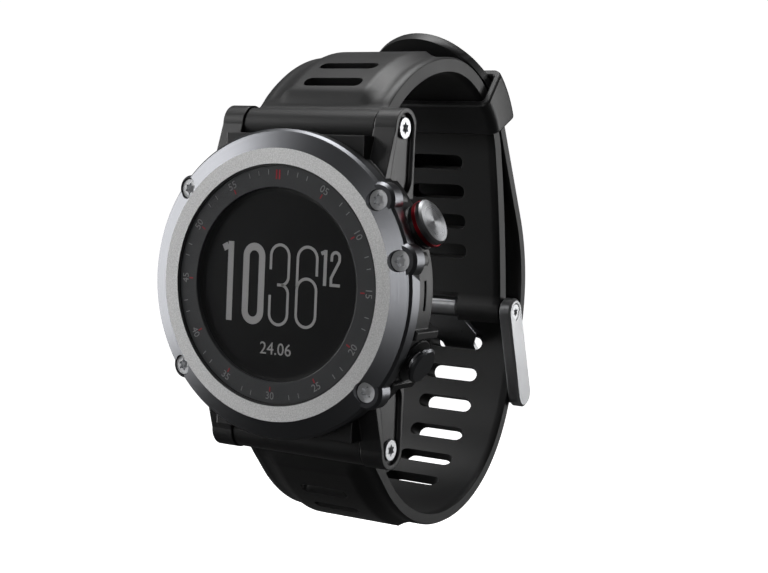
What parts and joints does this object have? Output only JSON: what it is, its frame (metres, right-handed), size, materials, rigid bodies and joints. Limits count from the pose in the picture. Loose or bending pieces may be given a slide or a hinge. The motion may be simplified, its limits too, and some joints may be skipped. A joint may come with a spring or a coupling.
{
  "type": "gps running watch",
  "caption": "Round multisport GPS watch with a screwed steel bezel, side buttons and a slotted silicone strap fastened in a loop.",
  "frame": {"origin": "centre of the case back's outer face", "axes": "+Z to 12 o'clock, +X to 3 o'clock, +Y from the case back into the wrist; the dial faces -Y"},
  "size_m": [0.0543, 0.0696, 0.0901],
  "materials": {
    "case_polymer": "fine moulded texture",
    "bezel_steel": "dark coated, brushed face and satin flank",
    "screw_steel": "satin",
    "lens_glass": "polished",
    "gasket_rubber": "matt",
    "dial_ring": "printed with minute marks",
    "display_film": "dark reflective display",
    "light_guide": "clear moulded",
    "frame_plastic": "moulded",
    "circuit_board": "solder mask",
    "shield_metal": "tinned sheet",
    "chip_epoxy": "moulded",
    "gold_contact": "gold plated",
    "cell_pouch": "laminate pouch",
    "foam_pad": "adhesive foam",
    "motor_metal": "plain",
    "piezo_brass": "plain",
    "membrane": "expanded film",
    "flex_polyimide": "amber film",
    "back_steel": "bead blasted",
    "contact_plastic": "moulded",
    "key_steel": "turned face",
    "key_dark": "dark coated",
    "red_anodised": "red anodised",
    "spring_steel": "bright",
    "buckle_steel": "satin",
    "strap_silicone": "matt moulded",
    "keeper_silicone": "smooth moulded"
  },
  "bodies": {
    "case": {"case_body": "case_polymer", "bezel": "bezel_steel", "bezel_screws": "screw_steel", "lens": "lens_glass", "lens_gasket": "gasket_rubber", "chapter_ring": "dial_ring", "display_panel": "display_film", "light_guide": "light_guide", "display_holder": "frame_plastic", "main_board": "circuit_board", "board_screws": "screw_steel", "shield_can": "shield_metal", "receiver_chip": "chip_epoxy", "antenna_contacts": "gold_contact", "battery": "cell_pouch", "battery_pad": "foam_pad", "vibration_motor": "motor_metal", "buzzer": "piezo_brass", "pressure_sensor": "motor_metal", "vent_membrane": "membrane", "display_flex": "flex_polyimide", "button_switches": "motor_metal", "back_cover": "back_steel", "back_gasket": "gasket_rubber", "back_screws": "screw_steel", "contact_block": "contact_plastic", "charging_contacts": "gold_contact", "button_bushings": "motor_metal", "button_seals": "gasket_rubber", "start_spring": "spring_steel", "back_spring": "spring_steel", "light_spring": "spring_steel", "up_spring": "spring_steel", "down_spring": "spring_steel", "upper_lug_pin": "screw_steel", "lower_lug_pin": "screw_steel", "upper_lug_screws": "screw_steel", "lower_lug_screws": "screw_steel"},
    "start_key": {"start_button": "key_steel", "start_clip": "spring_steel", "start_ring": "red_anodised"},
    "back_key": {"back_button": "key_dark", "back_clip": "spring_steel"},
    "light_key": {"light_button": "key_dark", "light_clip": "spring_steel"},
    "up_key": {"up_button": "key_dark", "up_clip": "spring_steel"},
    "down_key": {"down_button": "key_dark", "down_clip": "spring_steel"},
    "short_half": {"short_strap": "strap_silicone", "buckle_pin_rod": "screw_steel", "buckle_screws": "screw_steel"},
    "long_half": {"long_strap": "strap_silicone"},
    "buckle": {"buckle_frame": "buckle_steel"},
    "tongue": {"buckle_tongue": "buckle_steel"},
    "keeper": {"strap_keeper": "keeper_silicone"}
  },
  "joints": [
    {"name": "start_press", "type": "slide", "parent": "case", "child": "start_key", "axis": [-0.9063, 0, -0.4226], "range_m": [0, 0.0007], "stiffness_N_per_m": 1500, "springref_m": -0.0002, "deforming": ["start_spring"]},
    {"name": "back_press", "type": "slide", "parent": "case", "child": "back_key", "axis": [-0.9063, 0, 0.4226], "range_m": [0, 0.0007], "stiffness_N_per_m": 1500, "springref_m": -0.0002, "deforming": ["back_spring"]},
    {"name": "light_press", "type": "slide", "parent": "case", "child": "light_key", "axis": [0.9063, 0, -0.4226], "range_m": [0, 0.0007], "stiffness_N_per_m": 1500, "springref_m": -0.0002, "deforming": ["light_spring"]},
    {"name": "up_press", "type": "slide", "parent": "case", "child": "up_key", "axis": [1, 0, 0], "range_m": [0, 0.0007], "stiffness_N_per_m": 1500, "springref_m": -0.0002, "deforming": ["up_spring"]},
    {"name": "down_press", "type": "slide", "parent": "case", "child": "down_key", "axis": [0.9063, 0, 0.4226], "range_m": [0, 0.0007], "stiffness_N_per_m": 1500, "springref_m": -0.0002, "deforming": ["down_spring"]},
    {"name": "strap_open", "type": "hinge", "parent": "case", "child": "long_half", "pos_m": [0, -0.004, -0.0266], "axis": [-1, 0, 0], "range_deg": [0, 60], "deforming": ["long_strap"]},
    {"name": "short_strap_open", "type": "hinge", "parent": "case", "child": "short_half", "pos_m": [0, -0.004, 0.0266], "axis": [1, 0, 0], "range_deg": [0, 30], "deforming": ["short_strap"]},
    {"name": "buckle_turn", "type": "hinge", "parent": "short_half", "child": "buckle", "pos_m": [0, 0.04327, -0.00616], "axis": [1, 0, 0], "range_deg": [0, 25]},
    {"name": "tongue_turn", "type": "hinge", "parent": "short_half", "child": "tongue", "pos_m": [0, 0.04327, -0.00616], "axis": [1, 0, 0], "range_deg": [0, 45]},
    {"name": "keeper_slide", "type": "hinge", "parent": "short_half", "child": "keeper", "pos_m": [0, 0.01944, 0.0196], "axis": [1, 0, 0], "range_deg": [-8, 0]}
  ],
  "couplings": [
    {"joint": "short_strap_open", "follows": "strap_open", "ratio": 0.5},
    {"joint": "buckle_turn", "follows": "strap_open", "ratio": 0.41667},
    {"joint": "tongue_turn", "follows": "strap_open", "ratio": 0.75}
  ]
}
